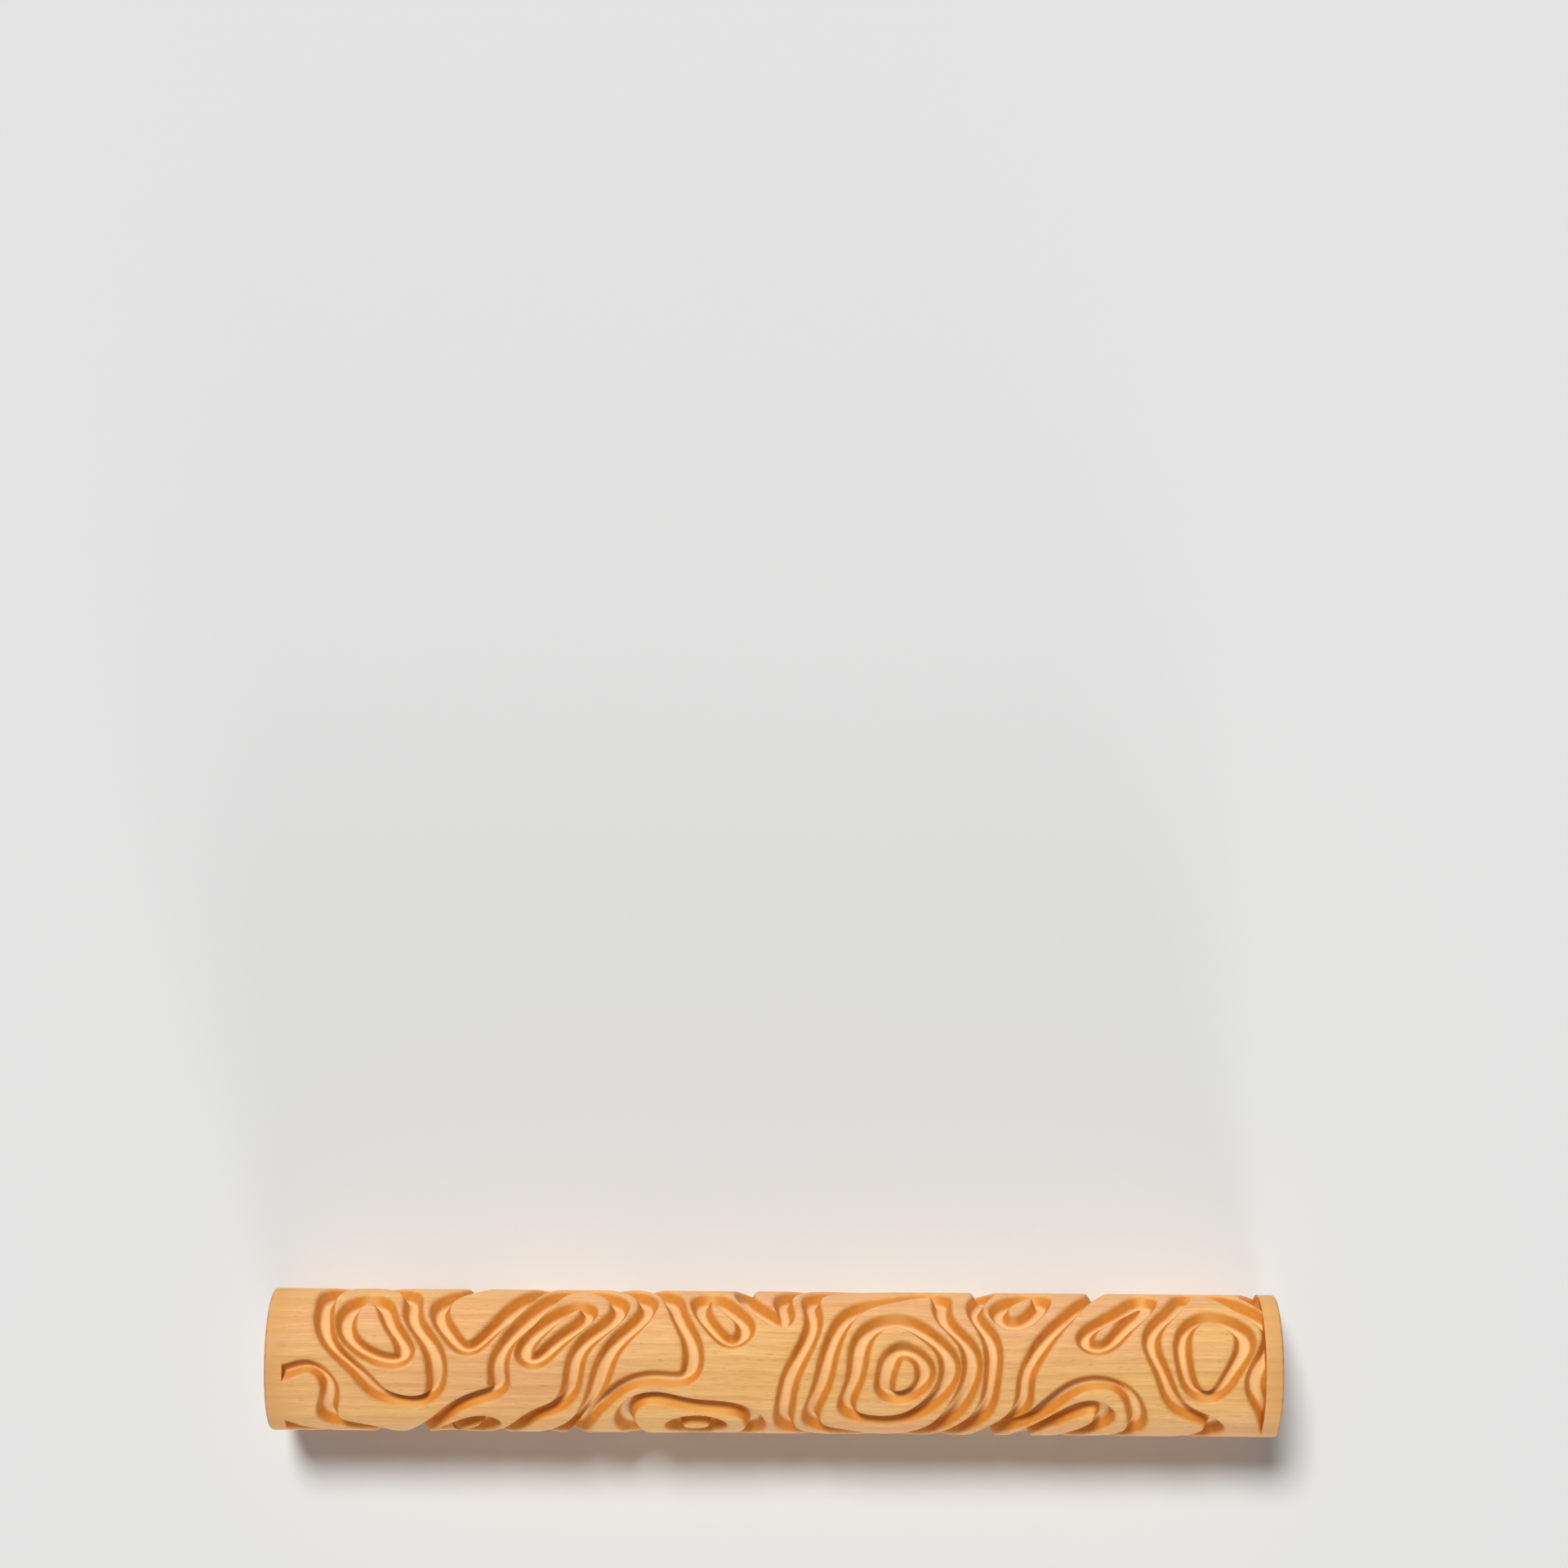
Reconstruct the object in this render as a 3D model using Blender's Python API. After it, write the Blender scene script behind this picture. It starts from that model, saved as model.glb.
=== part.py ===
"""Wooden clay texture roller: a turned dowel with contour-line grooves carved all round it.

The carved skin is laid out flat, with the axis along one side and one turn of the dowel along
the other. Its grooves are drawn and cut there, and the skin is then rolled round the dowel.
"""
import math

import bmesh
import bpy
import numpy as np
from mathutils import Vector, geometry, kdtree

# The turned dowel
LENGTH = 0.200
DIAMETER = 0.028
END_EDGE_ROUND = 0.0006
RIM_WIDTH = 0.0035

# The carved groove, a flat floor between two leaning walls
GROOVE_TOP_WIDTH = 0.0039
GROOVE_FLOOR_WIDTH = 0.0010
GROOVE_DEPTH = 0.0027

# The layout of the contour lines
GROOVE_PITCH = 0.0061
SHORTEST_RING = 0.016
VALLEY_BLEND = 0.0030
WANDER_ALONG = 0.0022
WANDER_AROUND = 0.0024
RIPPLE = 0.0011

# Each wave that the lines wander in: its height, how many fit in a turn and in half the carved
# length, and where it starts as part of a wave
ALONG_WAVES = ((WANDER_ALONG, 3, -0.8, 0.5), (RIPPLE, 5, 1.9, 0.8))
AROUND_WAVES = ((WANDER_AROUND, 1, -2.3, 0.0), (RIPPLE, -2, -4.1, 0.2))

# How finely the shapes are cut
FACETS = 40
EDGE_STEPS = 2
LANDSCAPE_STEP = 0.0010
GROOVE_STEP = 0.0028
LAND_STEP = 0.0036
READING_STEP = 0.0002
SETTLING_DISTANCE = 0.0003
JOIN_DISTANCE = 0.000005
SAME_PLACE = 0.0000001

WOOD_COLOUR = (0.76, 0.42, 0.17, 1.0)
WOOD_ROUGHNESS = 0.55

# Each hill: place along the carved half length, place round the turn, lean as part of a turn,
# stretch, and how many rings fit inside its foot
HILL_SHARES = (
    (-1.08, 0.30, 0.20, 1.5, 1.40),
    (-0.98, 0.88, 0.22, 1.5, 1.73),
    (-0.80, 0.42, 0.20, 1.8, 2.10),
    (-0.70, 0.04, 0.30, 1.6, 1.73),
    (-0.62, 0.70, 0.30, 1.7, 1.73),
    (-0.44, 0.42, 0.33, 1.7, 1.73),
    (-0.42, 0.93, 0.45, 1.9, 1.73),
    (-0.18, 0.66, 0.45, 1.9, 1.73),
    (-0.12, 0.34, 0.20, 1.8, 0.73),
    (-0.12, 0.02, 0.26, 1.6, 1.73),
    (0.20, 0.95, 0.38, 1.6, 1.73),
    (0.24, 0.50, 0.29, 1.6, 3.85),
    (0.52, 0.34, 0.28, 2.0, 0.73),
    (0.55, 0.02, 0.22, 1.6, 1.73),
    (0.60, 0.68, 0.35, 1.7, 1.10),
    (0.90, 0.46, 0.20, 1.8, 1.10),
    (0.92, 0.90, 0.26, 1.6, 1.73),
)

RADIUS = DIAMETER / 2
AROUND = math.pi * DIAMETER
CARVED_HALF = LENGTH / 2 - RIM_WIDTH
SHEET_HALF = CARVED_HALF + GROOVE_TOP_WIDTH
LIP = GROOVE_TOP_WIDTH / 2
FLOOR = GROOVE_FLOOR_WIDTH / 2
CLEAR_SHARE = 0.97
SHARPEST_TURN_SHARE = 0.5
SHARP_EDGE = math.radians(30)


def wandering(waves, share, turn):
    """How far the landscape is pushed aside at a place, so that its hills aren't plain ovals."""
    pushed = 0.0
    for height, in_turn, in_half_length, start_share in waves:
        phase = in_turn * turn + in_half_length * share + start_share
        pushed = pushed + height * np.sin(2 * math.pi * phase)
    return pushed


def heights(along, turn):
    """Height of the landscape of hills and valleys that the contour lines are read from."""
    share = along / CARVED_HALF
    along = along + wandering(ALONG_WAVES, share, turn)
    around = turn * AROUND + wandering(AROUND_WAVES, share, turn)
    total = np.zeros_like(along)
    for along_share, turn_share, lean_share, stretch_share, ring_share in HILL_SHARES:
        lean = 2 * math.pi * lean_share
        reach = math.sqrt(stretch_share)
        for lap in (-1, 0, 1):
            off_along = along - along_share * CARVED_HALF
            off_around = around - (turn_share + lap) * AROUND
            major = off_along * math.cos(lean) + off_around * math.sin(lean)
            minor = off_around * math.cos(lean) - off_along * math.sin(lean)
            foot = np.hypot(major / reach, minor * reach) - ring_share * GROOVE_PITCH
            total += np.exp(-foot / VALLEY_BLEND)
    return -VALLEY_BLEND * np.log(total)


def on_dowel(along, around, depth=0.0):
    """The point of the faceted dowel at a place of the flat skin, sunk by a depth."""
    angle = 2 * math.pi * around / AROUND
    flat = 2 * math.pi / FACETS
    from_flat_middle = (angle + flat / 2) % flat - flat / 2
    radius = RADIUS / math.cos(from_flat_middle) - depth
    return Vector((along, radius * math.sin(angle), RADIUS - radius * math.cos(angle)))


def contour_lines():
    """The landscape's lines of equal height, rolled into a ring so that they close over the seam."""
    land = bmesh.new()
    along_count = round(2 * SHEET_HALF / LANDSCAPE_STEP)
    around_count = round(AROUND / LANDSCAPE_STEP)
    bmesh.ops.create_grid(land, x_segments=along_count, y_segments=around_count, size=0.5)
    places = np.array([vert.co for vert in land.verts])
    along = places[:, 0] * 2 * SHEET_HALF
    turn = places[:, 1] + 0.5
    height = heights(along, turn)
    for vert, place in zip(land.verts, zip(along, turn * AROUND, height)):
        vert.co = place
    lines = bmesh.new()
    lowest = math.ceil(height.min() / GROOVE_PITCH)
    highest = math.floor(height.max() / GROOVE_PITCH)
    for ring in range(lowest, highest + 1):
        everything = land.verts[:] + land.edges[:] + land.faces[:]
        cut = bmesh.ops.bisect_plane(
            land, geom=everything, dist=0.0, plane_co=(0, 0, ring * GROOVE_PITCH), plane_no=(0, 0, 1))
        for edge in cut["geom_cut"]:
            if isinstance(edge, bmesh.types.BMEdge):
                ends = [lines.verts.new(on_dowel(vert.co.x, vert.co.y)) for vert in edge.verts]
                lines.edges.new(ends)
    land.free()
    bmesh.ops.remove_doubles(lines, verts=lines.verts[:], dist=JOIN_DISTANCE)
    return lines


def walk(lines):
    """Each line's points in order, laid flat again. A closed line ends where it starts."""
    unused = set(lines.verts)
    ends = [vert for vert in lines.verts if len(vert.link_edges) == 1]
    for start in ends + lines.verts[:]:
        if start not in unused:
            continue
        chain = []
        following = [start]
        while following:
            chain.append(following[0])
            unused.discard(following[0])
            neighbours = [edge.other_vert(chain[-1]) for edge in chain[-1].link_edges]
            following = [vert for vert in neighbours if vert in unused]
        closed = len(chain) > 2 and start in neighbours
        if closed:
            chain.append(start)
        angles = np.unwrap([math.atan2(vert.co.y, RADIUS - vert.co.z) for vert in chain])
        yield np.column_stack(([vert.co.x for vert in chain], angles * RADIUS)), closed


def stations(line, step):
    """The same line with a point every step."""
    spans = np.hypot(*np.diff(line, axis=0).T)
    reached = np.concatenate(([0.0], np.cumsum(spans)))
    count = max(3, round(reached[-1] / step))
    wanted = np.linspace(0.0, reached[-1], count + 1)
    return np.column_stack([np.interp(wanted, reached, line[:, axis]) for axis in (0, 1)])


def with_neighbours(line, closed):
    """The line with one more point at each end, so that every point has a neighbour on both sides."""
    lap = line[-1] - line[0]
    before = line[-2] - lap if closed else 2 * line[0] - line[1]
    after = line[1] + lap if closed else 2 * line[-1] - line[-2]
    return np.vstack((before, line, after))


def eased(line, closed):
    """The line with its sharpest bends rounded a little."""
    wide = with_neighbours(line, closed)
    return (wide[:-2] + 2 * wide[1:-1] + wide[2:]) / 4


def beside(line, closed, distance):
    """The line moved sideways on the flat skin, with its corners mitred."""
    spans = np.diff(with_neighbours(line, closed), axis=0)
    sideways = np.column_stack((-spans[:, 1], spans[:, 0])) / np.hypot(*spans.T)[:, None]
    before, after = sideways[:-1], sideways[1:]
    likeness = 1 + (before * after).sum(axis=1)
    return line + distance * (before + after) / np.maximum(likeness, SHARPEST_TURN_SHARE)[:, None]


def on_laps(points):
    """The points' copies, whole turns back and on, that reach the flat skin or its neighbourhood."""
    first = math.floor(-points[:, 1].max() / AROUND)
    last = math.ceil(1 - points[:, 1].min() / AROUND)
    return [points + (0.0, lap * AROUND) for lap in range(first, last + 1)]


def settled(points):
    """The points, with those that are very near the seam or a rim moved onto it."""
    along, around = points.T
    seam = AROUND * np.round(around / AROUND)
    rim = np.copysign(CARVED_HALF, along)
    along = np.where(abs(along - rim) < SETTLING_DISTANCE, rim, along)
    around = np.where(abs(around - seam) < SETTLING_DISTANCE, seam, around)
    return np.column_stack((along, around))


class Grooves:
    """The centre lines of all the grooves, and how deep the skin is cut at any place."""

    def __init__(self):
        lines = contour_lines()
        self.lines = []
        for line, closed in walk(lines):
            if np.hypot(*np.diff(line, axis=0).T).sum() > SHORTEST_RING:
                self.lines.append((eased(stations(line, GROOVE_STEP), closed), closed))
        lines.free()
        places = []
        for line, closed in self.lines:
            for copy in on_laps(stations(line, READING_STEP)):
                places.extend(copy)
        self.tree = kdtree.KDTree(len(places))
        for index, (along, around) in enumerate(places):
            self.tree.insert((along, around, 0), index)
        self.tree.balance()

    def distance(self, along, around):
        """How far a place on the skin lies from the nearest groove's centre line."""
        return self.tree.find((along, around % AROUND, 0))[2]

    def depth(self, along, around):
        """How deep the skin is cut at a place: none on the lands, full on the floor."""
        down_the_wall = (LIP - self.distance(along, around)) / (LIP - FLOOR)
        return GROOVE_DEPTH * min(max(down_the_wall, 0.0), 1.0)


def groove_edges(grooves):
    """The lips and the floor's edges of every groove, without what lies inside another groove."""
    points, edges = [], []
    for line, closed in grooves.lines:
        for distance in (-LIP, -FLOOR, FLOOR, LIP):
            row = beside(line, closed, distance)
            clear = [grooves.distance(*place) > abs(distance) * CLEAR_SHARE for place in row]
            for copy in on_laps(settled(row)):
                for index in range(len(row) - 1):
                    if clear[index] or clear[index + 1]:
                        edges.append((len(points), len(points) + 1))
                        points.extend(copy[index:index + 2])
    return points, edges


def land_points(grooves):
    """Points spread over the lands, so that the rolled skin stays round there."""
    rows = round(AROUND / LAND_STEP)
    columns = round(2 * CARVED_HALF / LAND_STEP)
    points = []
    for row in range(rows):
        around = AROUND * (row + 0.5) / rows
        for column in range(1, columns):
            along = CARVED_HALF * (2 * (column - 0.5 * (row % 2)) / columns - 1)
            if grooves.distance(along, around) > LIP + LAND_STEP / 3:
                points.append((along, around))
    return points


def border():
    """The four sides of the carved skin, with the dowel's facets marked along its two ends."""
    points, edges = [], []
    for side in (-1, 1):
        first = len(points)
        facet_corners = np.arange(FACETS) + 0.5
        points.extend((side * CARVED_HALF, AROUND * k / FACETS) for k in (0, *facet_corners, FACETS))
        edges.extend((k, k + 1) for k in range(first, len(points) - 1))
    last = FACETS + 1
    edges.extend(((0, last + 1), (last, 2 * last + 1)))
    return points, edges


def lay_out_skin(grooves):
    """The carved part of the skin as a mesh, cut along the grooves' edges and rolled up."""
    points, edges = border()
    for more_points, more_edges in (groove_edges(grooves), (land_points(grooves), [])):
        first = len(points)
        points.extend(more_points)
        edges.extend((first + a, first + b) for a, b in more_edges)
    laid = geometry.delaunay_2d_cdt([Vector(point) for point in points], edges, [], 0, SAME_PLACE)
    skin = bmesh.new()
    verts = [skin.verts.new(on_dowel(*place, grooves.depth(*place))) for place in laid[0]]
    for face in laid[2]:
        middle = sum((laid[0][index] for index in face), Vector((0, 0))) / len(face)
        if abs(middle.x) < CARVED_HALF and 0 < middle.y < AROUND:
            skin.faces.new([verts[index] for index in face])
    outside = [vert for vert in skin.verts if not vert.link_faces]
    bmesh.ops.delete(skin, geom=outside, context="VERTS")
    bmesh.ops.remove_doubles(skin, verts=skin.verts[:], dist=JOIN_DISTANCE)
    return skin


def end_profile():
    """Distance in from the end, and inset from the surface, of each row that closes an end."""
    rows = [(RIM_WIDTH, 0.0)]
    for step in range(EDGE_STEPS + 1):
        angle = math.pi / 2 * step / EDGE_STEPS
        rows.append((END_EDGE_ROUND * (1 - math.sin(angle)), END_EDGE_ROUND * (1 - math.cos(angle))))
    return rows


def close_end(skin, side):
    """Raise the square wall at a rim, and carry the rim over its broken edge to the flat end."""
    edge_loop = [edge for edge in skin.edges if edge.is_boundary and edge.verts[0].co.x * side > 0]
    for from_end, inset in end_profile():
        extruded = bmesh.ops.extrude_edge_only(skin, edges=edge_loop)["geom"]
        for vert in extruded:
            if isinstance(vert, bmesh.types.BMVert):
                around = math.atan2(vert.co.y, RADIUS - vert.co.z) * RADIUS
                vert.co = on_dowel(side * (LENGTH / 2 - from_end), around, inset)
        edge_loop = [edge for edge in extruded if isinstance(edge, bmesh.types.BMEdge)]
    bmesh.ops.contextual_create(skin, geom=edge_loop)


def wood():
    """Pale, close-grained turned wood with a satin oil finish."""
    material = bpy.data.materials.new("beech_wood")
    material.use_nodes = True
    shader = material.node_tree.nodes["Principled BSDF"]
    shader.inputs["Base Color"].default_value = WOOD_COLOUR
    shader.inputs["Roughness"].default_value = WOOD_ROUGHNESS
    shader.inputs["Metallic"].default_value = 0.0
    return material


def make_roller_body(collection):
    """The whole roller, one piece of wood, lying on one of its flats."""
    skin = lay_out_skin(Grooves())
    for side in (-1, 1):
        close_end(skin, side)
    bmesh.ops.remove_doubles(skin, verts=skin.verts[:], dist=JOIN_DISTANCE)
    bmesh.ops.recalc_face_normals(skin, faces=skin.faces[:])
    mesh = bpy.data.meshes.new("roller_body")
    skin.to_mesh(mesh)
    skin.free()
    mesh.shade_smooth()
    mesh.set_sharp_from_angle(angle=SHARP_EDGE)
    mesh.materials.append(wood())
    body = bpy.data.objects.new("roller_body", mesh)
    collection.objects.link(body)
    return body


for old in list(bpy.data.objects):
    bpy.data.objects.remove(old, do_unlink=True)

roller_collection = bpy.data.collections.new("clay_texture_roller")
bpy.context.scene.collection.children.link(roller_collection)
make_roller_body(roller_collection)
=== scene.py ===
import math

import bmesh
import bpy
import numpy as np
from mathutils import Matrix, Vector, geometry, kdtree, noise


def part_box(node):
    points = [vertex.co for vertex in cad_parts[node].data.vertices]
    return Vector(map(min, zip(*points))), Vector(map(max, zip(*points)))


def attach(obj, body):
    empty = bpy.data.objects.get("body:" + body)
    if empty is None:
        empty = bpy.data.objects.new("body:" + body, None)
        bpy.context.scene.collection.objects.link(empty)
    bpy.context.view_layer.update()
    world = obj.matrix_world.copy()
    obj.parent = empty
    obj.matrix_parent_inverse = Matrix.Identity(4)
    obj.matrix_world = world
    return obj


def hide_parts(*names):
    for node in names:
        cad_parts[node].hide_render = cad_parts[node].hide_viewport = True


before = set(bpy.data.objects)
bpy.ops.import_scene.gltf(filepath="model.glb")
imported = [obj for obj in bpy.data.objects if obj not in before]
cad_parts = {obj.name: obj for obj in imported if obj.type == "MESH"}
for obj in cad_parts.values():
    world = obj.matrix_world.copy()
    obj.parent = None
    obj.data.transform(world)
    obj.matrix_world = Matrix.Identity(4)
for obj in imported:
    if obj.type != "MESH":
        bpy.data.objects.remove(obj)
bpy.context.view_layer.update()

# The line drawing. A one-piece hand roller is carved from a drawing of contour lines that runs
# round the dowel without a break. It is drawn here on the flat skin of the dowel, with the axis
# along one side and one turn along the other.
MM = 0.001
lowest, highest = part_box("roller_body")
LENGTH = highest.x - lowest.x
RADIUS = (highest.z - lowest.z) / 2
AROUND = 2 * math.pi * RADIUS
RIM_WIDTH = 3.5 * MM
CARVED_HALF = LENGTH / 2 - RIM_WIDTH
GROOVE_TOP_WIDTH = 3.9 * MM
SKIN_HALF = CARVED_HALF + GROOVE_TOP_WIDTH
GROOVE_PITCH = 6.1 * MM
SHORTEST_RING = 16 * MM
VALLEY_BLEND = 3.0 * MM
DRAWING_STEP = 0.8 * MM
JOIN_DISTANCE = 0.005 * MM

# Each wave: its height, how many fit in a turn and in half the length, and its start
ALONG_WAVES = ((2.2 * MM, 3, -0.8, 0.5), (1.1 * MM, 5, 1.9, 0.8))
AROUND_WAVES = ((2.4 * MM, 1, -2.3, 0.0), (1.1 * MM, -2, -4.1, 0.2))

# Each hill: place along the half length, place round the turn, lean, stretch and rings
HILL_SHARES = (
    (-1.08, 0.30, 0.20, 1.5, 1.40),
    (-0.98, 0.88, 0.22, 1.5, 1.73),
    (-0.80, 0.42, 0.20, 1.8, 2.10),
    (-0.70, 0.04, 0.30, 1.6, 1.73),
    (-0.62, 0.70, 0.30, 1.7, 1.73),
    (-0.44, 0.42, 0.33, 1.7, 1.73),
    (-0.42, 0.93, 0.45, 1.9, 1.73),
    (-0.18, 0.66, 0.45, 1.9, 1.73),
    (-0.12, 0.34, 0.20, 1.8, 0.73),
    (-0.12, 0.02, 0.26, 1.6, 1.73),
    (0.20, 0.95, 0.38, 1.6, 1.73),
    (0.24, 0.50, 0.29, 1.6, 3.85),
    (0.52, 0.34, 0.28, 2.0, 0.73),
    (0.55, 0.02, 0.22, 1.6, 1.73),
    (0.60, 0.68, 0.35, 1.7, 1.10),
    (0.90, 0.46, 0.20, 1.8, 1.10),
    (0.92, 0.90, 0.26, 1.6, 1.73),
)


def wandering(waves, share, turn):
    """How far the drawing is pushed aside at a place, so that its hills aren't plain ovals."""
    pushed = 0.0
    for height, in_turn, in_half_length, start_share in waves:
        phase = in_turn * turn + in_half_length * share + start_share
        pushed = pushed + height * np.sin(2 * math.pi * phase)
    return pushed


def hill_heights(along, turn):
    """The landscape of hills and valleys whose contour lines make the drawing."""
    share = along / CARVED_HALF
    along = along + wandering(ALONG_WAVES, share, turn)
    around = turn * AROUND + wandering(AROUND_WAVES, share, turn)
    total = np.zeros_like(along)
    for along_share, turn_share, lean_share, stretch_share, ring_share in HILL_SHARES:
        lean = 2 * math.pi * lean_share
        reach = math.sqrt(stretch_share)
        for lap in (-1, 0, 1):
            off_along = along - along_share * CARVED_HALF
            off_around = around - (turn_share + lap) * AROUND
            major = off_along * math.cos(lean) + off_around * math.sin(lean)
            minor = off_around * math.cos(lean) - off_along * math.sin(lean)
            foot = np.hypot(major / reach, minor * reach) - ring_share * GROOVE_PITCH
            total += np.exp(-foot / VALLEY_BLEND)
    return -VALLEY_BLEND * np.log(total)


def on_dowel(along, around, depth=0.0):
    """Roll a place of the flat skin round the dowel, sunk by a depth. The seam is underneath."""
    angle = around / RADIUS
    radius = RADIUS - depth
    return Vector((along, radius * math.sin(angle), RADIUS - radius * math.cos(angle)))


def draw_contours():
    """Cut the landscape level by level, and roll the cuts up so that they close over the seam."""
    land = bmesh.new()
    along_count = round(2 * SKIN_HALF / DRAWING_STEP)
    around_count = round(AROUND / DRAWING_STEP)
    bmesh.ops.create_grid(land, x_segments=along_count, y_segments=around_count, size=0.5)
    places = np.array([vert.co for vert in land.verts])
    along = places[:, 0] * 2 * SKIN_HALF
    turn = places[:, 1] + 0.5
    height = hill_heights(along, turn)
    for vert, place in zip(land.verts, zip(along, turn * AROUND, height)):
        vert.co = place
    drawing = bmesh.new()
    lowest_ring = math.ceil(height.min() / GROOVE_PITCH)
    highest_ring = math.floor(height.max() / GROOVE_PITCH)
    for ring in range(lowest_ring, highest_ring + 1):
        everything = land.verts[:] + land.edges[:] + land.faces[:]
        cut = bmesh.ops.bisect_plane(
            land, geom=everything, dist=0.0, plane_co=(0, 0, ring * GROOVE_PITCH), plane_no=(0, 0, 1))
        for edge in cut["geom_cut"]:
            if isinstance(edge, bmesh.types.BMEdge):
                ends = [drawing.verts.new(on_dowel(vert.co.x, vert.co.y)) for vert in edge.verts]
                drawing.edges.new(ends)
    land.free()
    bmesh.ops.remove_doubles(drawing, verts=drawing.verts[:], dist=JOIN_DISTANCE)
    return drawing


def follow_lines(drawing):
    """Each drawn line's points in order, on the flat skin. A closed line ends where it starts."""
    unused = set(drawing.verts)
    ends = [vert for vert in drawing.verts if len(vert.link_edges) == 1]
    for start in ends + drawing.verts[:]:
        if start not in unused:
            continue
        chain = []
        following = [start]
        while following:
            chain.append(following[0])
            unused.discard(following[0])
            neighbours = [edge.other_vert(chain[-1]) for edge in chain[-1].link_edges]
            following = [vert for vert in neighbours if vert in unused]
        closed = len(chain) > 2 and start in neighbours
        if closed:
            chain.append(start)
        angles = np.unwrap([math.atan2(vert.co.y, RADIUS - vert.co.z) for vert in chain])
        yield np.column_stack(([vert.co.x for vert in chain], angles * RADIUS)), closed


def length_of(line):
    """The length of a line on the flat skin."""
    return np.hypot(*np.diff(line, axis=0).T).sum()


def spaced(line, step):
    """The same line with a point every step, and with whatever else is noted at its points."""
    reached = np.concatenate(([0.0], np.cumsum(np.hypot(*np.diff(line[:, :2], axis=0).T))))
    wanted = np.linspace(0.0, reached[-1], max(3, round(reached[-1] / step)) + 1)
    return np.column_stack([np.interp(wanted, reached, noted) for noted in line.T])


def with_neighbours(line, closed):
    """The line with one more point at each end, so that every point has two neighbours."""
    lap = line[-1] - line[0]
    before = line[-2] - lap if closed else 2 * line[0] - line[1]
    after = line[1] + lap if closed else 2 * line[-1] - line[-2]
    return np.vstack((before, line, after))


def eased(line, closed):
    """The line with its sharpest bends rounded a little."""
    wide = with_neighbours(line, closed)
    return (wide[:-2] + 2 * wide[1:-1] + wide[2:]) / 4


def on_laps(points):
    """The points' copies, whole turns back and on, that reach the skin or its neighbourhood."""
    first = math.floor(-points[:, 1].max() / AROUND)
    last = math.ceil(1 - points[:, 1].min() / AROUND)
    return [points + (0.0, lap * AROUND) for lap in range(first, last + 1)]


CUTTER_STEP = 0.64 * MM
EASING_ROUNDS = 24
drawing = draw_contours()
groove_lines = []
for line, closed in follow_lines(drawing):
    if length_of(line) > SHORTEST_RING:
        line = spaced(line, CUTTER_STEP)
        for easing in range(EASING_ROUNDS):
            line = eased(line, closed)
        groove_lines.append((line, closed))
drawing.free()

# The carved skin. A cutter with a narrow round nose and leaning sides follows the drawing. It
# leaves a smooth floor, two steep walls and a lip that is crisp along the grain and a little torn
# across it. The skin is laid out flat, row by row along each groove, and then rolled up.
READING_STEP = 0.1 * MM
SETTLING_DISTANCE = 0.12 * MM
SAME_PLACE = 0.0001 * MM
SHARPEST_TURN_SHARE = 0.5
LAND_STEP = 1.3 * MM
FULL_DEPTH = 2.75 * MM
WIDTH_WAVE = 11 * MM
WIDTH_WAVER = 0.45 * MM
WIDER_AROUND = 0.30 * MM
NARROWER_ALONG = -0.20 * MM
NARROWEST = -0.35 * MM
LEAST_GAP = 0.12 * MM
CREST_HALVINGS = 8
CREST_TOLERANCE = 0.05 * MM
TORN_LENGTH = 1.6 * MM
TORN_WIDTH = 0.7 * MM
TORN_DEPTH = 0.03 * MM
TURNED_WAVE = 6 * MM
TURNED_DEPTH = 0.02 * MM

# Distance from the middle of the groove, and how deep the skin lies there
CUTTER_PROFILE = (
    (0.00 * MM, FULL_DEPTH), (0.22 * MM, 2.72 * MM), (0.40 * MM, 2.60 * MM), (0.57 * MM, 2.36 * MM),
    (0.96 * MM, 1.68 * MM), (1.35 * MM, 0.98 * MM), (1.60 * MM, 0.54 * MM), (1.80 * MM, 0.25 * MM),
    (2.00 * MM, 0.08 * MM), (2.22 * MM, 0.00 * MM),
)


def path_widening(line, closed):
    """How much wider than usual the cutter's path is at each point: most where it runs round."""
    wide = with_neighbours(line, closed)
    spans = wide[2:] - wide[:-2]
    around_share = (spans[:, 1] ** 2 / (spans ** 2).sum(axis=1)) ** 2
    waver = np.array([noise.noise(on_dowel(*place) / WIDTH_WAVE) for place in line])
    widening = NARROWER_ALONG + (WIDER_AROUND - NARROWER_ALONG) * around_share + WIDTH_WAVER * waver
    return np.maximum(widening, NARROWEST)


def torn_fibres(along, around):
    """How far the lip is torn back."""
    place = on_dowel(along, around)
    place = Vector((place.x / TORN_LENGTH, place.y / TORN_WIDTH, place.z / TORN_WIDTH))
    return TORN_DEPTH * noise.noise(place)


def turned_waves(along, around):
    """How far the turned and sanded skin lies below a true cylinder. It meets the rims flush."""
    from_rim = min(1.0, max(0.0, CARVED_HALF - abs(along)) / TURNED_WAVE)
    return from_rim * TURNED_DEPTH * (1 + noise.noise(on_dowel(along, around) / TURNED_WAVE))


widenings = []
path_places = []
path_orders = []
cutter_paths = []
for line, closed in groove_lines:
    widening = path_widening(line, closed)
    cutter_paths.append((line, closed, widening))
    path = spaced(np.column_stack((line, widening)), READING_STEP)
    order = np.arange(len(path)) + len(path_places)
    for copy in on_laps(path[:, :2]):
        path_places.extend(copy)
        widenings.extend(path[:, 2])
        path_orders.extend(order)
cutter_path = kdtree.KDTree(len(path_places))
for index, (along, around) in enumerate(path_places):
    cutter_path.insert((along, around, 0), index)
cutter_path.balance()


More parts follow.
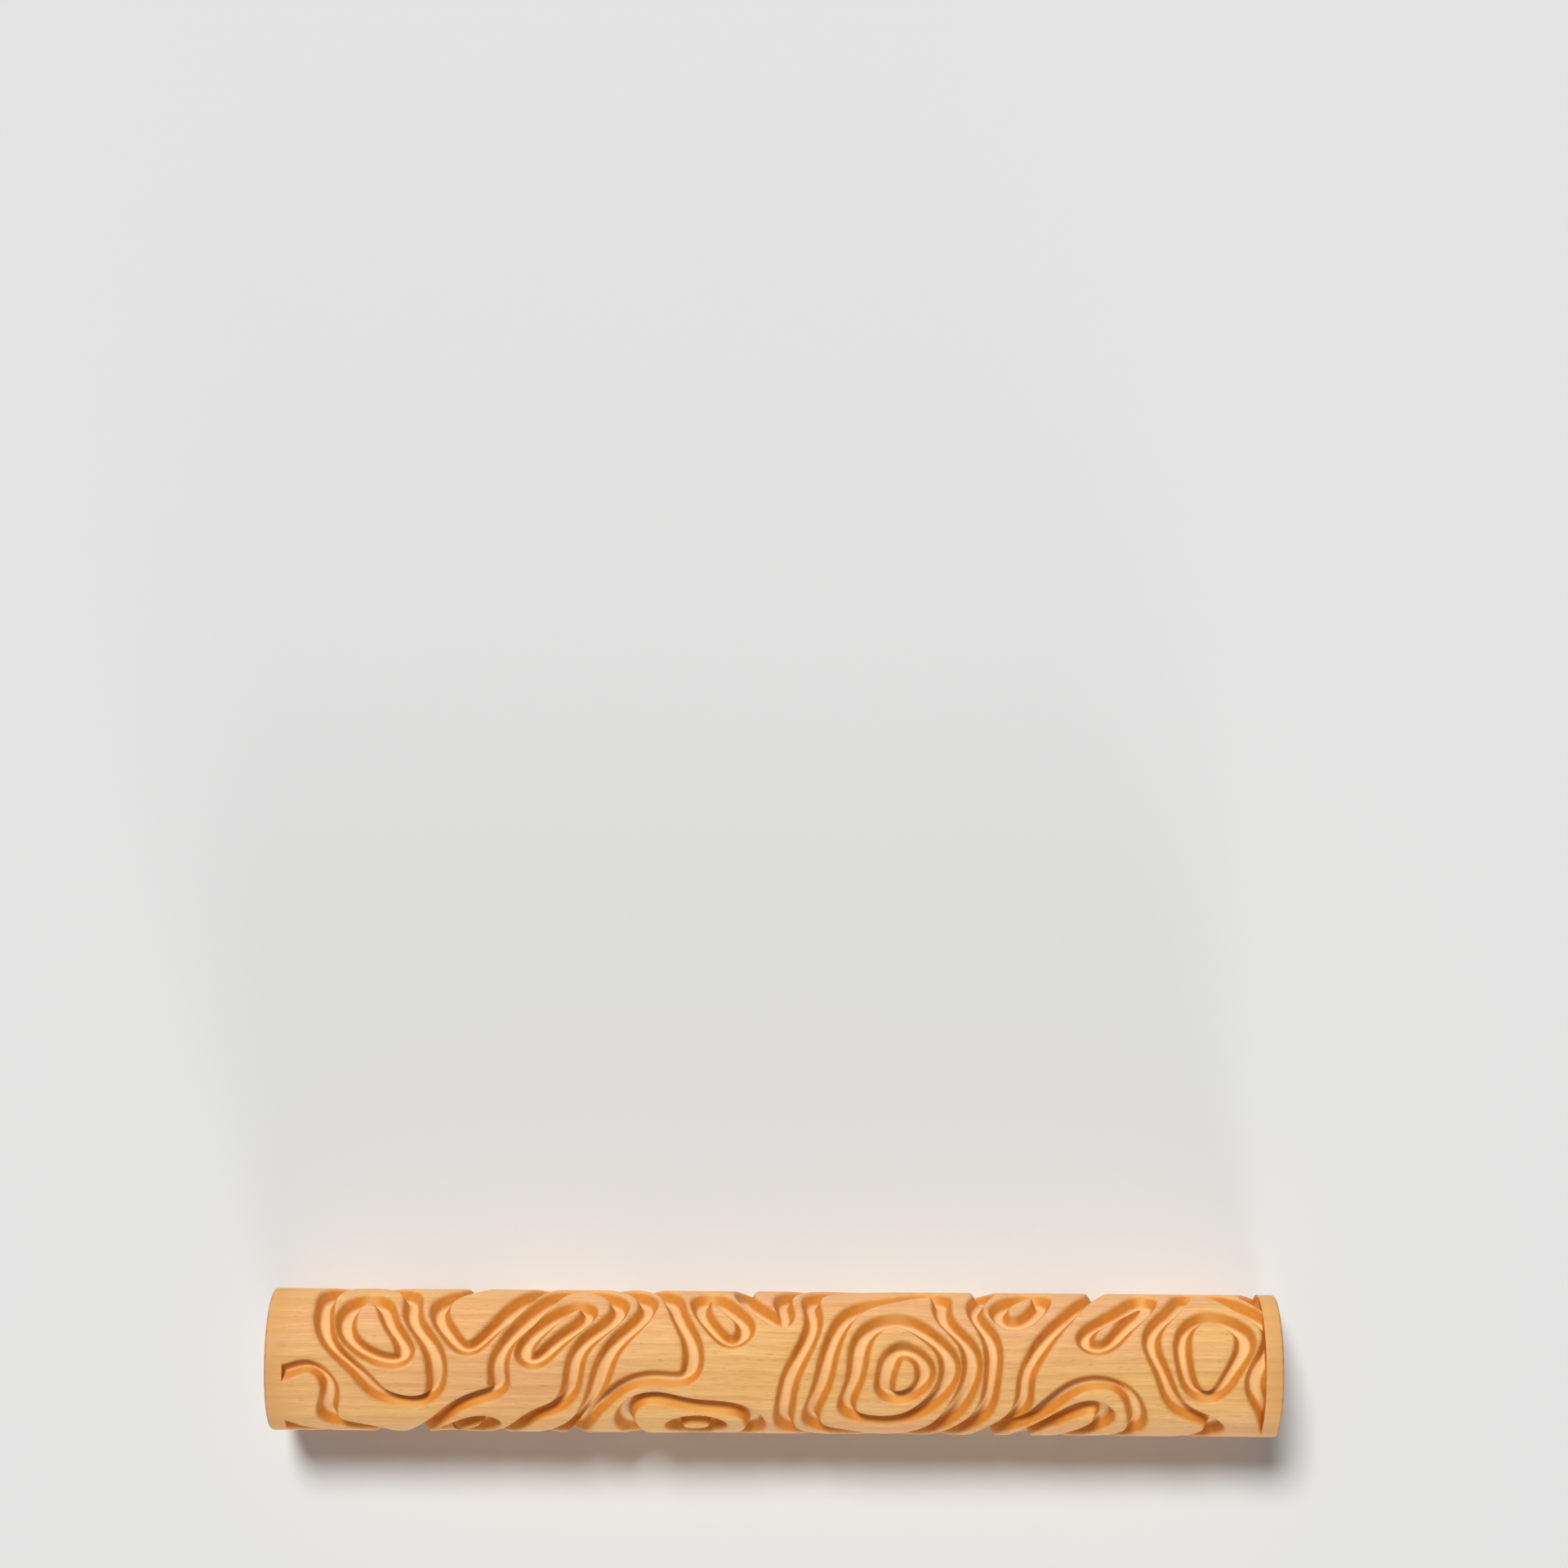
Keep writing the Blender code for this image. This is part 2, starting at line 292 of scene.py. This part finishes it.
def nearest_cut(along, around):
    """How far a place is from the nearest cutter path, less its widening, and where that path is."""
    nearest, index, distance = cutter_path.find((along, around % AROUND, 0))
    return distance - widenings[index], path_orders[index]


def beyond_cut(along, around):
    """How far a place is from the nearest cutter path, less that path's widening."""
    return nearest_cut(along, around)[0]


cut_from, cut_depth = zip(*CUTTER_PROFILE)


def skin_depth(along, around):
    """How deep the skin lies at a place."""
    return np.interp(beyond_cut(along, around) - torn_fibres(along, around), cut_from, cut_depth)


def beside(line, closed, distances):
    """The line moved sideways on the flat skin, with its corners mitred."""
    spans = np.diff(with_neighbours(line, closed), axis=0)
    sideways = np.column_stack((-spans[:, 1], spans[:, 0])) / np.hypot(*spans.T)[:, None]
    before, after = sideways[:-1], sideways[1:]
    likeness = 1 + (before * after).sum(axis=1)
    return line + (before + after) * (distances / np.maximum(likeness, SHARPEST_TURN_SHARE))[:, None]


def settled(points):
    """The points, with those that are very near the seam or a rim moved onto it."""
    along, around = points.T
    seam = AROUND * np.round(around / AROUND)
    rim = np.copysign(CARVED_HALF, along)
    along = np.where(abs(along - rim) < SETTLING_DISTANCE, rim, along)
    around = np.where(abs(around - seam) < SETTLING_DISTANCE, seam, around)
    return np.column_stack((along, around))


def crest_of(place, sideways, widening):
    """How far a path's own cut reaches sideways from a place before another cut is nearer.

    It also tells whether this side is the one that draws the crest between the two cuts."""
    near, far = 0.0, cut_from[-1] + widening
    beyond, order = nearest_cut(*(place + far * sideways))
    if beyond > far - widening - CREST_TOLERANCE:
        return math.inf, False
    for halving in range(CREST_HALVINGS):
        middle = (near + far) / 2
        beyond, reached_order = nearest_cut(*(place + middle * sideways))
        if beyond > middle - widening - CREST_TOLERANCE:
            near = middle
        else:
            far, order = middle, reached_order
    return near, nearest_cut(*place)[1] < order


def groove_rows():
    """Rows of points along every groove, at each distance of the cutter's profile.

    Where two cuts meet, the rows end at the crest between them, and the last row follows it."""
    points, edges = [], []
    for line, closed, widening in cutter_paths:
        for side in (-1, 1):
            sideways = side * (beside(line, closed, np.full(len(line), MM)) - line) / MM
            crests = [crest_of(*station) for station in zip(line, sideways, widening)]
            crest = np.array([reach for reach, draws in crests])
            draws = np.array([draws for reach, draws in crests])
            for distance in cut_from:
                if distance == 0.0 and side == -1:
                    continue
                widths = np.maximum(widening + distance, 0.0) if distance else np.zeros(len(line))
                clipped = widths > crest - LEAST_GAP
                kept = np.where(clipped, draws, (widths > LEAST_GAP) | (distance == 0.0))
                row = settled(line + sideways * np.where(clipped, crest, widths)[:, None])
                along_crest = distance == cut_from[-1]
                for copy in on_laps(row):
                    inside = (copy[:, 1] > -LAND_STEP) & (copy[:, 1] < AROUND + LAND_STEP)
                    for index in range(len(row) - 1):
                        pair = slice(index, index + 2)
                        joined = inside[pair].all() and kept[pair].all()
                        if joined and (along_crest or not clipped[pair].all()):
                            edges.append((len(points) + index, len(points) + index + 1))
                    points.extend(copy)
    used = sorted({index for edge in edges for index in edge})
    renumbered = {index: place for place, index in enumerate(used)}
    return [points[index] for index in used], [(renumbered[a], renumbered[b]) for a, b in edges]


def land_places():
    """Points spread over the lands between the grooves."""
    rows = round(AROUND / LAND_STEP)
    columns = round(2 * CARVED_HALF / LAND_STEP)
    points = []
    for row in range(rows):
        around = AROUND * (row + 0.5) / rows
        for column in range(1, columns):
            along = CARVED_HALF * (2 * (column - 0.5 * (row % 2)) / columns - 1)
            if beyond_cut(along, around) > cut_from[-1] + LAND_STEP / 3:
                points.append((along, around))
    return points


def skin_border():
    """The four sides of the carved skin."""
    count = 2 * round(AROUND / LAND_STEP)
    points, edges = [], []
    for side in (-1, 1):
        first = len(points)
        points.extend((side * CARVED_HALF, AROUND * k / count) for k in range(count + 1))
        edges.extend((k, k + 1) for k in range(first, len(points) - 1))
    edges.extend(((0, count + 1), (count, 2 * count + 1)))
    return points, edges


points, edges = skin_border()
for more_points, more_edges in (groove_rows(), (land_places(), [])):
    first = len(points)
    points.extend(more_points)
    edges.extend((first + a, first + b) for a, b in more_edges)
laid = geometry.delaunay_2d_cdt([Vector(point) for point in points], edges, [], 0, SAME_PLACE)

skin = bmesh.new()
carved = skin.verts.layers.float.new("carved")
skin_verts = []
for along, around in laid[0]:
    depth = skin_depth(along, around)
    vert = skin.verts.new(on_dowel(along, around, depth + turned_waves(along, around)))
    vert[carved] = depth / FULL_DEPTH
    skin_verts.append(vert)
for face in laid[2]:
    middle = sum((laid[0][index] for index in face), Vector((0, 0))) / len(face)
    if abs(middle.x) < CARVED_HALF and 0 < middle.y < AROUND:
        skin.faces.new([skin_verts[index] for index in face])
bmesh.ops.delete(skin, geom=[vert for vert in skin.verts if not vert.link_faces], context="VERTS")
bmesh.ops.remove_doubles(skin, verts=skin.verts[:], dist=JOIN_DISTANCE)
carved_mesh = bpy.data.meshes.new("carved_roller")
skin.to_mesh(carved_mesh)
skin.free()
carved_roller = bpy.data.objects.new("carved_roller", carved_mesh)
bpy.context.scene.collection.objects.link(carved_roller)

# The two plain rims and the ends. The dowel isn't carved over its last 3.5 mm, so that each groove
# ends in a square wall. The edge is broken with sandpaper, and the end is sawn across the grain.
END_EDGE_ROUND = 0.6 * MM
EDGE_STEPS = 5
END_RINGS = (12.2 * MM, 9.0 * MM, 5.0 * MM, 1.5 * MM)
SMOOTHED_UP_TO = math.radians(42)

# Distance from the end, and how far from the axis: the rim, its rounded edge, and the flat end
end_profile = [(RIM_WIDTH / 2, RADIUS)]
for step in range(EDGE_STEPS + 1):
    angle = math.pi / 2 * step / EDGE_STEPS
    from_end = END_EDGE_ROUND * (1 - math.sin(angle))
    from_axis = RADIUS - END_EDGE_ROUND * (1 - math.cos(angle))
    end_profile.append((from_end, from_axis))
end_profile.extend((0.0, ring) for ring in END_RINGS)

bpy.ops.object.select_all(action="DESELECT")
bpy.context.view_layer.objects.active = carved_roller
carved_roller.select_set(True)
bpy.ops.object.mode_set(mode="EDIT")
bpy.ops.mesh.select_mode(type="EDGE")
for side in (-1, 1):
    bpy.ops.mesh.select_all(action="DESELECT")
    edited = bmesh.from_edit_mesh(carved_mesh)
    for edge in edited.edges:
        edge.select_set(edge.is_boundary and edge.verts[0].co.x * side > 0)
    bmesh.update_edit_mesh(carved_mesh)
    axis_point = Vector((side * CARVED_HALF, 0, RADIUS))
    bpy.ops.mesh.extrude_edges_move()
    bpy.ops.transform.tosphere(value=1.0, center_override=axis_point)
    rim_verts = [vert for vert in bmesh.from_edit_mesh(carved_mesh).verts if vert.select]
    distances = [(vert.co - axis_point).length for vert in rim_verts]
    drawn_out = RADIUS / (sum(distances) / len(distances))
    bpy.ops.transform.resize(value=(1, drawn_out, drawn_out), center_override=axis_point)
    from_end, from_axis = RIM_WIDTH, RADIUS
    for next_from_end, next_from_axis in end_profile:
        drawn_in = next_from_axis / from_axis
        bpy.ops.mesh.extrude_edges_move(
            TRANSFORM_OT_translate={"value": (side * (from_end - next_from_end), 0, 0)})
        bpy.ops.transform.resize(value=(1, drawn_in, drawn_in), center_override=axis_point)
        from_end, from_axis = next_from_end, next_from_axis
    bpy.ops.mesh.edge_face_add()
bpy.ops.mesh.select_all(action="SELECT")
bpy.ops.mesh.normals_make_consistent(inside=False)
bpy.ops.object.mode_set(mode="OBJECT")
bpy.ops.object.shade_smooth_by_angle(angle=SMOOTHED_UP_TO)

# The new rim and end took over how deep the skin's border was carved, and they aren't carved
carved_share = carved_mesh.attributes["carved"].data
for vert in carved_mesh.vertices:
    from_rim = CARVED_HALF - abs(vert.co.x)
    on_surface = math.hypot(vert.co.y, vert.co.z - RADIUS) > RADIUS - JOIN_DISTANCE
    if from_rim < -JOIN_DISTANCE or (from_rim < JOIN_DISTANCE and on_surface):
        carved_share[vert.index].value = 0.0

# Beech, turned, sanded and oiled. It is a pale, close-grained hardwood: tan lands between pink and
# yellow, with fine darker fibres and short brown flecks that run with the axis. The walls, where
# the cutter went through the fibres, have drunk more oil and are orange. Their deep orange and brown
# are also painted shade, standing in for the shade and bounce light inside the grooves.
LAND_YELLOW = "#F6BF75"
LAND_PINK = "#F2B57F"
DARK_FIBRE = "#DC9750"
PALE_FIBRE = "#FCD29C"
BROWN_FLECK = "#B4743C"
RING_LINE = "#D79650"
# The two deeper wall colours are partly painted shade: besides the oil in the cut fibres, their darker
# orange and brown stand in for the shade and bounce light inside the grooves.
WALL_ORANGE_AND_SHADE = "#E0933A"
WALL_BROWN_AND_SHADE = "#D07E30"
WALL_GOLD = "#E6A654"
FLOOR_PALE = "#F0C78C"
RIM_TAN = "#E2A765"
END_TAN = "#CB955C"
END_RING = "#A06A3A"
END_RAY = "#DDAE7A"


def linear(hex_colour):
    """An sRGB hex colour as the linear values that a shader takes."""
    channels = [int(hex_colour[i:i + 2], 16) / 255 for i in (1, 3, 5)]
    return [c / 12.92 if c <= 0.04045 else ((c + 0.055) / 1.055) ** 2.4 for c in channels] + [1.0]


def add_node(tree, kind, settings, inputs, output=0):
    """Add a node, give it its settings and its inputs, and return one of its outputs."""
    node = tree.nodes.new(kind)
    for name, value in settings.items():
        setattr(node, name, value)
    for name, value in inputs.items():
        if isinstance(value, bpy.types.NodeSocket):
            tree.links.new(value, node.inputs[name])
        else:
            node.inputs[name].default_value = value
    return node.outputs[output]


beech = bpy.data.materials.new("oiled_turned_beech")
beech.use_nodes = True
wood = beech.node_tree
shader = wood.nodes["Principled BSDF"]

# The grain's sizes in millimetres
PER_MM = 1 / MM
FIBRE_LENGTH = 9.0
FIBRE_WIDTH = 0.34
STREAK_LENGTH = 40.0
STREAK_WIDTH = 1.1
TONE_LENGTH = 70.0
TONE_WIDTH = 9.0
FLECK_LENGTH = 1.8
FLECK_WIDTH = 0.30
FLECKS_MOVED = (5.0, 9.0, 2.0)
RING_SPACING = 2.6
PITH = (0.0, -31.0, 12.0)
WAVES_PER_MM = (0.03, 0.08, 0.08)
WAVE_REACH = (0.0, 2.4, 2.4)
OIL_REACH_PAST_RIM = 5.0

# How much of its own colour each mark lays over the wood
RING_SHARE = 0.30
STREAK_SHARE = 0.30
FIBRE_SHARE = 0.34
PALE_FIBRE_SHARE = 0.38
FLECK_SHARE = 0.25
RIM_SHARE = 0.8
BROWN_WALL_SHARE = 0.55
PALE_FLOOR_SHARE = 0.65

# Places in millimetres, from the middle of the dowel, with the fibres a little wavy
metres = add_node(wood, "ShaderNodeTexCoord", {}, {}, "Object")
placed = add_node(wood, "ShaderNodeMapping", {}, {
    "Vector": metres, "Location": (0, 0, -RADIUS * PER_MM), "Scale": (PER_MM, PER_MM, PER_MM)})
wave = add_node(wood, "ShaderNodeMapping", {}, {"Vector": placed, "Scale": WAVES_PER_MM})
wave = add_node(wood, "ShaderNodeTexNoise", {}, {"Vector": wave, "Scale": 1.0, "Detail": 1.0}, "Color")
wave = add_node(wood, "ShaderNodeVectorMath", {"operation": "MULTIPLY_ADD"}, {
    0: wave, 1: WAVE_REACH, 2: placed})

fibre_place = add_node(wood, "ShaderNodeMapping", {}, {
    "Vector": wave, "Scale": (1 / FIBRE_LENGTH, 1 / FIBRE_WIDTH, 1 / FIBRE_WIDTH)})
fibres = add_node(wood, "ShaderNodeTexNoise", {}, {
    "Vector": fibre_place, "Scale": 1.0, "Detail": 2.0, "Roughness": 0.6})
streak_place = add_node(wood, "ShaderNodeMapping", {}, {
    "Vector": wave, "Scale": (1 / STREAK_LENGTH, 1 / STREAK_WIDTH, 1 / STREAK_WIDTH)})
streaks = add_node(wood, "ShaderNodeTexNoise", {}, {
    "Vector": streak_place, "Scale": 1.0, "Detail": 2.0, "Roughness": 0.5})
tone_place = add_node(wood, "ShaderNodeMapping", {}, {
    "Vector": wave, "Scale": (1 / TONE_LENGTH, 1 / TONE_WIDTH, 1 / TONE_WIDTH)})
tones = add_node(wood, "ShaderNodeTexNoise", {}, {"Vector": tone_place, "Scale": 1.0, "Detail": 1.0})
fleck_place = add_node(wood, "ShaderNodeMapping", {}, {
    "Vector": wave, "Location": FLECKS_MOVED,
    "Scale": (1 / FLECK_LENGTH, 1 / FLECK_WIDTH, 1 / FLECK_WIDTH)})
flecks = add_node(wood, "ShaderNodeTexNoise", {}, {"Vector": fleck_place, "Scale": 1.0, "Detail": 0.0})

# Growth rings round a pith that lies outside the dowel
from_pith = add_node(wood, "ShaderNodeVectorMath", {"operation": "SUBTRACT"}, {0: wave, 1: PITH})
from_pith = add_node(wood, "ShaderNodeVectorMath", {"operation": "MULTIPLY"}, {
    0: from_pith, 1: (0, 1, 1)})
from_pith = add_node(wood, "ShaderNodeVectorMath", {"operation": "LENGTH"}, {0: from_pith}, "Value")
years = add_node(wood, "ShaderNodeMath", {"operation": "DIVIDE"}, {0: from_pith, 1: RING_SPACING})
years = add_node(wood, "ShaderNodeMath", {"operation": "ADD"}, {0: years, 1: tones})
ring = add_node(wood, "ShaderNodeMath", {"operation": "FRACT"}, {0: years})
late_wood = add_node(wood, "ShaderNodeMapRange", {"interpolation_type": "SMOOTHSTEP"}, {
    "Value": ring, "From Min": 0.45, "From Max": 0.98})
early_wood = add_node(wood, "ShaderNodeMapRange", {"interpolation_type": "SMOOTHSTEP"}, {
    "Value": ring, "From Min": 0.10, "From Max": 0.0})
ring_line = add_node(wood, "ShaderNodeMath", {"operation": "MAXIMUM"}, {0: late_wood, 1: early_wood})

tone = add_node(wood, "ShaderNodeMapRange", {}, {"Value": tones, "From Min": 0.35, "From Max": 0.65})
colour = add_node(wood, "ShaderNodeMix", {"data_type": "RGBA"}, {
    0: tone, 6: linear(LAND_YELLOW), 7: linear(LAND_PINK)}, 2)
ring_share = add_node(wood, "ShaderNodeMath", {"operation": "MULTIPLY"}, {0: ring_line, 1: RING_SHARE})
colour = add_node(wood, "ShaderNodeMix", {"data_type": "RGBA"}, {
    0: ring_share, 6: colour, 7: linear(RING_LINE)}, 2)
streak_share = add_node(wood, "ShaderNodeMapRange", {}, {
    "Value": streaks, "From Min": 0.45, "From Max": 0.72, "To Max": STREAK_SHARE})
colour = add_node(wood, "ShaderNodeMix", {"data_type": "RGBA"}, {
    0: streak_share, 6: colour, 7: linear(DARK_FIBRE)}, 2)
fibre_share = add_node(wood, "ShaderNodeMapRange", {}, {
    "Value": fibres, "From Min": 0.50, "From Max": 0.72, "To Max": FIBRE_SHARE})
colour = add_node(wood, "ShaderNodeMix", {"data_type": "RGBA"}, {
    0: fibre_share, 6: colour, 7: linear(DARK_FIBRE)}, 2)
pale_share = add_node(wood, "ShaderNodeMapRange", {}, {
    "Value": fibres, "From Min": 0.46, "From Max": 0.30, "To Max": PALE_FIBRE_SHARE})
colour = add_node(wood, "ShaderNodeMix", {"data_type": "RGBA"}, {
    0: pale_share, 6: colour, 7: linear(PALE_FIBRE)}, 2)
fleck_share = add_node(wood, "ShaderNodeMapRange", {}, {
    "Value": flecks, "From Min": 0.68, "From Max": 0.78, "To Max": FLECK_SHARE})
land_colour = add_node(wood, "ShaderNodeMix", {"data_type": "RGBA"}, {
    0: fleck_share, 6: colour, 7: linear(BROWN_FLECK)}, 2)

# Rims: the oil soaks in at the ends, so the wood grows a shade darker towards them
from_middle = add_node(wood, "ShaderNodeSeparateXYZ", {}, {0: placed})
from_middle = add_node(wood, "ShaderNodeMath", {"operation": "ABSOLUTE"}, {0: from_middle})
rim_share = add_node(wood, "ShaderNodeMapRange", {"interpolation_type": "SMOOTHSTEP"}, {
    "Value": from_middle, "From Min": CARVED_HALF * PER_MM - OIL_REACH_PAST_RIM,
    "From Max": LENGTH / 2 * PER_MM, "To Max": RIM_SHARE})
land_colour = add_node(wood, "ShaderNodeMix", {"data_type": "RGBA"}, {
    0: rim_share, 6: land_colour, 7: linear(RIM_TAN)}, 2)

# Walls and floors, told apart by how deep they are carved. A wall across the fibres is all cut
# fibre ends, which drink the oil, and its deep orange and brown also hold painted shade for the
# inside of the grooves. One along the fibres is nearly as pale as the lands.
facing = add_node(wood, "ShaderNodeTexCoord", {}, {}, "Normal")
facing = add_node(wood, "ShaderNodeSeparateXYZ", {}, {0: facing})
facing = add_node(wood, "ShaderNodeMath", {"operation": "ABSOLUTE"}, {0: facing})
fibre_ends = add_node(wood, "ShaderNodeMapRange", {"interpolation_type": "SMOOTHSTEP"}, {
    "Value": facing, "From Min": 0.08, "From Max": 0.50})
depth_share = add_node(wood, "ShaderNodeAttribute", {"attribute_name": "carved"}, {}, "Fac")
inside_lip = add_node(wood, "ShaderNodeMapRange", {"interpolation_type": "SMOOTHSTEP"}, {
    "Value": depth_share, "From Min": 0.02, "From Max": 0.30})
on_floor = add_node(wood, "ShaderNodeMapRange", {"interpolation_type": "SMOOTHSTEP"}, {
    "Value": depth_share, "From Min": 0.70, "From Max": 0.95})
end_wall = add_node(wood, "ShaderNodeMapRange", {"interpolation_type": "SMOOTHSTEP"}, {
    "Value": facing, "From Min": 0.90, "From Max": 0.97, "To Min": 1.0, "To Max": 0.0})
on_floor = add_node(wood, "ShaderNodeMath", {"operation": "MULTIPLY"}, {0: on_floor, 1: end_wall})
wall_tone = add_node(wood, "ShaderNodeMapRange", {}, {
    "Value": streaks, "From Min": 0.35, "From Max": 0.68, "To Max": BROWN_WALL_SHARE})
wall_colour_and_shade = add_node(wood, "ShaderNodeMix", {"data_type": "RGBA"}, {
    0: wall_tone, 6: linear(WALL_ORANGE_AND_SHADE), 7: linear(WALL_BROWN_AND_SHADE)}, 2)
wall_colour_and_shade = add_node(wood, "ShaderNodeMix", {"data_type": "RGBA"}, {
    0: fibre_ends, 6: linear(WALL_GOLD), 7: wall_colour_and_shade}, 2)
floor_colour = add_node(wood, "ShaderNodeMix", {"data_type": "RGBA"}, {
    0: PALE_FLOOR_SHARE, 6: land_colour, 7: linear(FLOOR_PALE)}, 2)
cut_colour = add_node(wood, "ShaderNodeMix", {"data_type": "RGBA"}, {
    0: on_floor, 6: wall_colour_and_shade, 7: floor_colour}, 2)
wood_colour = add_node(wood, "ShaderNodeMix", {"data_type": "RGBA"}, {
    0: inside_lip, 6: land_colour, 7: cut_colour}, 2)

# The sawn ends: darker end grain, with its growth rings and the pale rays that run from the pith
RAY_WIDTH_TURNS = 0.0016
RAY_LENGTH = 7.0
RAY_SHARE = 0.45
END_RING_SHARE = 0.6
rays = add_node(wood, "ShaderNodeVectorMath", {"operation": "SUBTRACT"}, {0: placed, 1: PITH})
rays = add_node(wood, "ShaderNodeSeparateXYZ", {}, {0: rays}, "Y").node
rays = add_node(wood, "ShaderNodeMath", {"operation": "ARCTAN2"}, {
    0: rays.outputs["Z"], 1: rays.outputs["Y"]})
rays = add_node(wood, "ShaderNodeCombineXYZ", {}, {"X": rays, "Y": from_pith})
rays = add_node(wood, "ShaderNodeMapping", {}, {
    "Vector": rays, "Scale": (1 / (2 * math.pi * RAY_WIDTH_TURNS), 1 / RAY_LENGTH, 1.0)})
rays = add_node(wood, "ShaderNodeTexNoise", {}, {"Vector": rays, "Scale": 1.0, "Detail": 1.0})
ray_share = add_node(wood, "ShaderNodeMapRange", {}, {
    "Value": rays, "From Min": 0.50, "From Max": 0.70, "To Max": RAY_SHARE})
end_ring_share = add_node(wood, "ShaderNodeMath", {"operation": "MULTIPLY"}, {
    0: ring_line, 1: END_RING_SHARE})
end_colour = add_node(wood, "ShaderNodeMix", {"data_type": "RGBA"}, {
    0: end_ring_share, 6: linear(END_TAN), 7: linear(END_RING)}, 2)
end_colour = add_node(wood, "ShaderNodeMix", {"data_type": "RGBA"}, {
    0: ray_share, 6: end_colour, 7: linear(END_RAY)}, 2)
at_end = add_node(wood, "ShaderNodeMapRange", {"interpolation_type": "SMOOTHSTEP"}, {
    "Value": from_middle, "From Min": (LENGTH / 2 - END_EDGE_ROUND) * PER_MM,
    "From Max": LENGTH / 2 * PER_MM})
wood_colour = add_node(wood, "ShaderNodeMix", {"data_type": "RGBA"}, {
    0: at_end, 6: wood_colour, 7: end_colour}, 2)

# The oil has dried inside the wood, so the surface stays dull, with fibres that can just be felt
FIBRE_RELIEF = 0.02 * MM
RELIEF_STRENGTH = 0.35
OILED_ROUGHNESS = 0.55
OILED_IOR = 1.48
OILED_SPECULAR = 0.2
relief = add_node(wood, "ShaderNodeMath", {"operation": "MULTIPLY_ADD"}, {
    0: fibres, 1: -1.0, 2: pale_share})
bump = add_node(wood, "ShaderNodeBump", {}, {
    "Height": relief, "Distance": FIBRE_RELIEF, "Strength": RELIEF_STRENGTH})
wood.links.new(wood_colour, shader.inputs["Base Color"])
wood.links.new(bump, shader.inputs["Normal"])
shader.inputs["Roughness"].default_value = OILED_ROUGHNESS
shader.inputs["IOR"].default_value = OILED_IOR
shader.inputs["Specular IOR Level"].default_value = OILED_SPECULAR
carved_mesh.materials.append(beech)

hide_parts("roller_body")
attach(carved_roller, "root")

# The camera. It looks straight down on the table from 0.7 m, as the photograph does, with the
# roller low in the picture and turned by less than half a degree.
PICTURE = 1920
FOCAL_PIXELS = 4202
ROLLER_MIDDLE_PIXELS = (948.0, 1668.0)
CAMERA_HEIGHT = 700 * MM
CAMERA_TURN = math.radians(0.42)
SENSOR = 36.0

per_pixel = (CAMERA_HEIGHT - RADIUS) / FOCAL_PIXELS
right = (PICTURE / 2 - ROLLER_MIDDLE_PIXELS[0]) * per_pixel
up = (ROLLER_MIDDLE_PIXELS[1] - PICTURE / 2) * per_pixel
bpy.ops.object.camera_add(
    location=(right * math.cos(CAMERA_TURN) - up * math.sin(CAMERA_TURN),
              right * math.sin(CAMERA_TURN) + up * math.cos(CAMERA_TURN), CAMERA_HEIGHT),
    rotation=(0, 0, CAMERA_TURN))
camera = bpy.context.object
camera.data.sensor_width = SENSOR
camera.data.lens = SENSOR * FOCAL_PIXELS / PICTURE
camera.data.clip_start = 10 * MM
bpy.context.scene.camera = camera

# The table and the light. A plain pale table, one large soft lamp high behind the roller and a
# little to its left, a weaker one low in front of it, and a pale room that fills the shadows.
TABLE_SIZE = 6.0
TABLE_COLOUR = "#F0F1F0"
TABLE_ROUGHNESS = 0.9
TABLE_SPECULAR = 0.2
LAMPS = {
    "soft_lamp_behind": {"from_zenith": 35, "turned": 19, "angle": 18, "strength": 2.62},
    "soft_lamp_in_front": {"from_zenith": -81, "turned": 10, "angle": 18, "strength": 1.5},
}
ROOM_LIGHT = 0.14

bpy.ops.mesh.primitive_plane_add(size=TABLE_SIZE)
table = bpy.context.object
table.name = "table"
table_paint = bpy.data.materials.new("matt_painted_table")
table_paint.use_nodes = True
table_shader = table_paint.node_tree.nodes["Principled BSDF"]
table_shader.inputs["Base Color"].default_value = linear(TABLE_COLOUR)
table_shader.inputs["Roughness"].default_value = TABLE_ROUGHNESS
table_shader.inputs["Specular IOR Level"].default_value = TABLE_SPECULAR
table.data.materials.append(table_paint)

for name, lamp in LAMPS.items():
    bpy.ops.object.light_add(
        type="SUN", location=(0, 0, 1),
        rotation=(-math.radians(lamp["from_zenith"]), 0, math.radians(lamp["turned"])))
    bpy.context.object.name = name
    bpy.context.object.data.angle = math.radians(lamp["angle"])
    bpy.context.object.data.energy = lamp["strength"]

room = bpy.data.worlds.new("pale_room")
bpy.context.scene.world = room
room.use_nodes = True
seen = add_node(room.node_tree, "ShaderNodeLightPath", {}, {}, "Is Camera Ray")
mirrored = add_node(room.node_tree, "ShaderNodeLightPath", {}, {}, "Is Glossy Ray")
through = add_node(room.node_tree, "ShaderNodeLightPath", {}, {}, "Is Transmission Ray")
direct = add_node(room.node_tree, "ShaderNodeMath", {"operation": "ADD"}, {0: seen, 1: mirrored})
direct = add_node(room.node_tree, "ShaderNodeMath", {"operation": "ADD", "use_clamp": True}, {
    0: direct, 1: through})
brightness = add_node(room.node_tree, "ShaderNodeMapRange", {}, {
    "Value": direct, "To Min": ROOM_LIGHT, "To Max": 1.0})
background = room.node_tree.nodes["Background"]
background.inputs["Color"].default_value = linear(TABLE_COLOUR)
room.node_tree.links.new(brightness, background.inputs["Strength"])

bpy.context.scene.view_settings.view_transform = "Standard"
